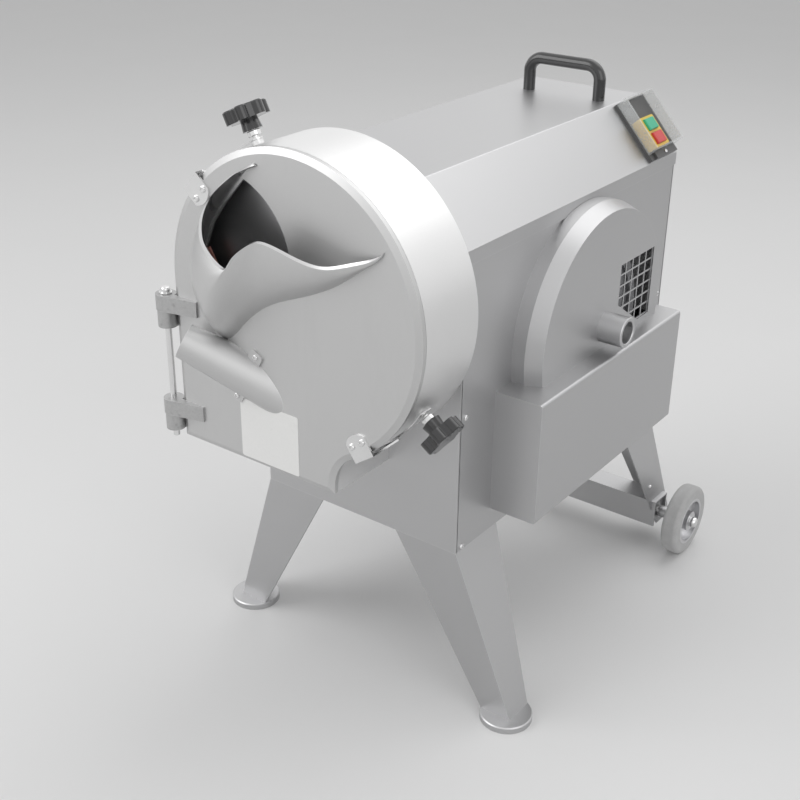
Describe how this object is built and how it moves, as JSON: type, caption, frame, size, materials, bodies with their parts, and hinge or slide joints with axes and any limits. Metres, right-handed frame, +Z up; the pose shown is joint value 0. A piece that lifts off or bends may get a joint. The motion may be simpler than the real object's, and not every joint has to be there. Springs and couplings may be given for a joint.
{
  "type": "vegetable cutting machine",
  "caption": "Wheeled stainless vegetable cutter: a scroll drum with a hinged door, curved feed scoop and feed tube, on a chamfered motor housing with splayed legs.",
  "frame": {"origin": "centre of the footprint, on the floor", "axes": "+Z up; -Y towards the door; +X towards the side with the round belt guard"},
  "size_m": [0.551, 0.8198, 0.8398],
  "materials": {
    "housing_steel": "satin brushed stainless sheet",
    "door_steel": "fine bead-blasted stainless",
    "cast_steel": "bead-blasted casting",
    "bright_steel": "polished",
    "disc_metal": "machined",
    "cast_iron": "as cast, machined faces",
    "painted_steel": "semi-gloss paint",
    "black_rubber": "matte",
    "seal_rubber": "matte",
    "grey_tyre": "matte, smooth",
    "black_plastic": "glossy moulded",
    "dark_plastic": "moulded",
    "clear_plastic": "clear",
    "yellow_plastic": "moulded",
    "green_plastic": "moulded",
    "red_plastic": "moulded"
  },
  "bodies": {
    "root": {"front_plate": "housing_steel", "rear_plate": "housing_steel", "base_pan": "housing_steel", "side_panels": "housing_steel", "top_cover": "housing_steel", "panel_screws": "bright_steel", "supply_gland": "dark_plastic", "drum_casing": "housing_steel", "hinge_knuckles": "cast_steel", "hinge_pin": "bright_steel", "acorn_nuts": "bright_steel", "front_bearing": "cast_steel", "side_bearing": "cast_steel", "bearing_bolts": "bright_steel", "gearbox": "cast_iron", "gearbox_stand": "painted_steel", "motor": "painted_steel", "drive_belt": "black_rubber", "side_guard": "housing_steel", "vent_grille": "housing_steel", "hub_tube": "housing_steel", "side_box": "housing_steel", "front_legs": "housing_steel", "rear_legs": "housing_steel", "feet": "housing_steel", "axle_beam": "housing_steel", "rear_axle": "bright_steel", "axle_sleeves": "housing_steel", "carry_handle": "black_plastic", "switch_base": "dark_plastic", "switch_guard": "clear_plastic", "switch_frame": "yellow_plastic"},
    "door": {"door_pan": "door_steel", "door_seals": "seal_rubber", "hinge_arms": "cast_steel", "feed_scoop": "door_steel", "feed_tube": "door_steel", "door_screws": "bright_steel", "latch_brackets": "bright_steel", "latch_tongue_lower": "bright_steel"},
    "upper_strap": {"latch_tongue_upper": "bright_steel"},
    "upper_stud": {"clamp_stud_upper": "bright_steel"},
    "upper_knob": {"star_knob_upper": "black_plastic"},
    "lower_stud": {"clamp_stud_lower": "bright_steel"},
    "lower_knob": {"star_knob_lower": "black_plastic"},
    "cutter": {"main_shaft": "bright_steel", "knife_disc": "disc_metal", "slicing_blades": "bright_steel", "disc_fasteners": "bright_steel", "ejector": "disc_metal"},
    "cross_drive": {"cross_shaft": "bright_steel", "drive_pulley": "cast_iron"},
    "motor_drive": {"motor_shaft": "bright_steel", "motor_pulley": "cast_iron"},
    "wheel_left": {"tyre_left": "grey_tyre", "wheel_rim_left": "disc_metal"},
    "wheel_right": {"tyre_right": "grey_tyre", "wheel_rim_right": "disc_metal"},
    "start_button": {"start_button": "green_plastic"},
    "stop_button": {"stop_button": "red_plastic"}
  },
  "joints": [
    {"name": "door_hinge", "type": "hinge", "parent": "root", "child": "door", "pos_m": [-0.228, -0.347, 0.45], "axis": [0, 0, -1], "range_deg": [0, 120]},
    {"name": "upper_strap_swing", "type": "hinge", "parent": "root", "child": "upper_strap", "pos_m": [-0.10798, -0.288, 0.78894], "axis": [0.454, 0, -0.891], "range_deg": [0, 25]},
    {"name": "upper_stud_travel", "type": "slide", "parent": "root", "child": "upper_stud", "axis": [0.454, 0, -0.891], "range_m": [0, 0.0025]},
    {"name": "upper_knob_turn", "type": "hinge", "parent": "upper_stud", "child": "upper_knob", "pos_m": [-0.11842, -0.288, 0.80943], "axis": [0.454, 0, -0.891], "range_deg": [0, 720]},
    {"name": "lower_stud_travel", "type": "slide", "parent": "root", "child": "lower_stud", "axis": [-0.8241, 0, 0.5664], "range_m": [0, 0.0025]},
    {"name": "lower_knob_turn", "type": "hinge", "parent": "lower_stud", "child": "lower_knob", "pos_m": [0.17555, -0.288, 0.47423], "axis": [-0.8241, 0, 0.5664], "range_deg": [0, 720]},
    {"name": "cutter_spin", "type": "hinge", "parent": "root", "child": "cutter", "pos_m": [-0.014, -0.228, 0.6045], "axis": [0, 1, 0], "continuous": true},
    {"name": "cross_shaft_spin", "type": "hinge", "parent": "root", "child": "cross_drive", "pos_m": [0.1, 0.0643, 0.5036], "axis": [1, 0, 0], "continuous": true},
    {"name": "motor_spin", "type": "hinge", "parent": "root", "child": "motor_drive", "pos_m": [0.15, 0.172, 0.372], "axis": [1, 0, 0], "continuous": true},
    {"name": "wheel_left_spin", "type": "hinge", "parent": "root", "child": "wheel_left", "pos_m": [-0.245, 0.352, 0.06], "axis": [1, 0, 0], "continuous": true},
    {"name": "wheel_right_spin", "type": "hinge", "parent": "root", "child": "wheel_right", "pos_m": [0.245, 0.352, 0.06], "axis": [1, 0, 0], "continuous": true},
    {"name": "start_button_press", "type": "slide", "parent": "root", "child": "start_button", "axis": [-0.7452, 0, -0.6668], "range_m": [0, 0.003], "stiffness_N_per_m": 300, "springref_m": -0.003},
    {"name": "stop_button_press", "type": "slide", "parent": "root", "child": "stop_button", "axis": [-0.7452, 0, -0.6668], "range_m": [0, 0.003], "stiffness_N_per_m": 300, "springref_m": -0.003}
  ],
  "couplings": [
    {"joint": "cross_shaft_spin", "follows": "cutter_spin", "ratio": 1},
    {"joint": "motor_spin", "follows": "cutter_spin", "ratio": 2.75},
    {"joint": "upper_stud_travel", "follows": "upper_knob_turn", "m_per_rad": 0.0001989},
    {"joint": "lower_stud_travel", "follows": "lower_knob_turn", "m_per_rad": 0.0001989}
  ]
}
